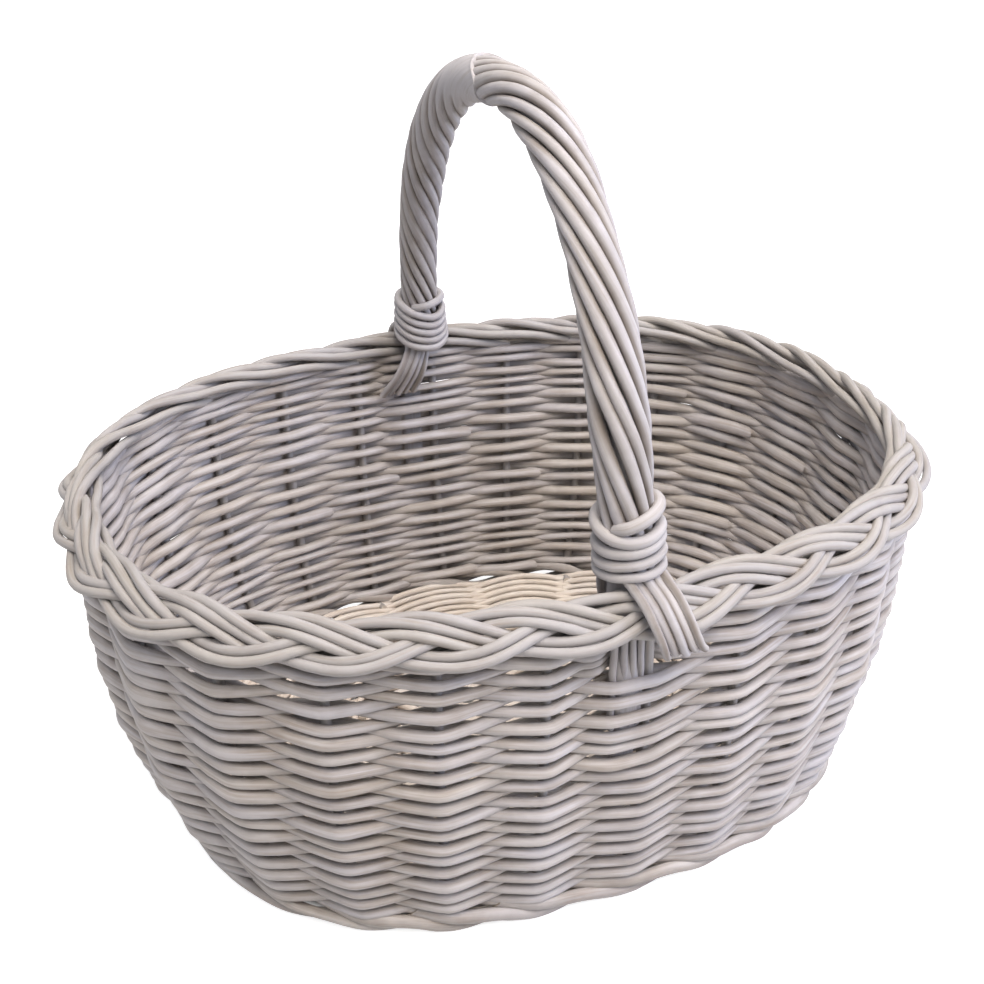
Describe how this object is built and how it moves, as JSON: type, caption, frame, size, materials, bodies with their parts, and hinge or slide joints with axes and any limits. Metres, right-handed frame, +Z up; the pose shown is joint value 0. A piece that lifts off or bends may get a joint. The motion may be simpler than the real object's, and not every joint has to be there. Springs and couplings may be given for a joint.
{
  "type": "wicker shopping basket",
  "caption": "Oval woven willow basket with flared sides, a plaited border and a fixed roped handle arched over its short axis.",
  "frame": {"origin": "on the floor, under the middle of the basket's outline", "axes": "+X along the basket's length, +Y across it and away from the viewer, +Z up; the handle stands in the YZ plane"},
  "size_m": [0.4529, 0.3648, 0.3772],
  "materials": {
    "willow": "white-washed, matt"
  },
  "bodies": {
    "root": {"base_cross_stick_1": "willow", "base_cross_stick_2": "willow", "base_cross_stick_3": "willow", "base_cross_stick_4": "willow", "base_cross_stick_5": "willow", "base_long_stick_1": "willow", "base_long_stick_2": "willow", "base_long_stick_3": "willow", "base_weaver_1": "willow", "base_weaver_2": "willow", "handle_binding_far": "willow", "handle_binding_near": "willow", "handle_bow": "willow", "handle_rod_01": "willow", "handle_rod_02": "willow", "handle_rod_03": "willow", "handle_rod_04": "willow", "handle_rod_05": "willow", "handle_rod_06": "willow", "handle_rod_07": "willow", "handle_rod_08": "willow", "handle_rod_09": "willow", "handle_rod_10": "willow", "siding_weaver": "willow", "stake_01": "willow", "stake_02": "willow", "stake_03": "willow", "stake_04": "willow", "stake_05": "willow", "stake_06": "willow", "stake_07": "willow", "stake_08": "willow", "stake_09": "willow", "stake_10": "willow", "stake_11": "willow", "stake_12": "willow", "stake_13": "willow", "stake_14": "willow", "stake_15": "willow", "stake_16": "willow", "stake_17": "willow", "stake_18": "willow", "stake_19": "willow", "stake_20": "willow", "stake_21": "willow", "stake_22": "willow", "stake_23": "willow", "stake_24": "willow", "stake_25": "willow", "upsett_rod_1": "willow", "upsett_rod_2": "willow", "upsett_rod_3": "willow"}
  },
  "joints": []
}
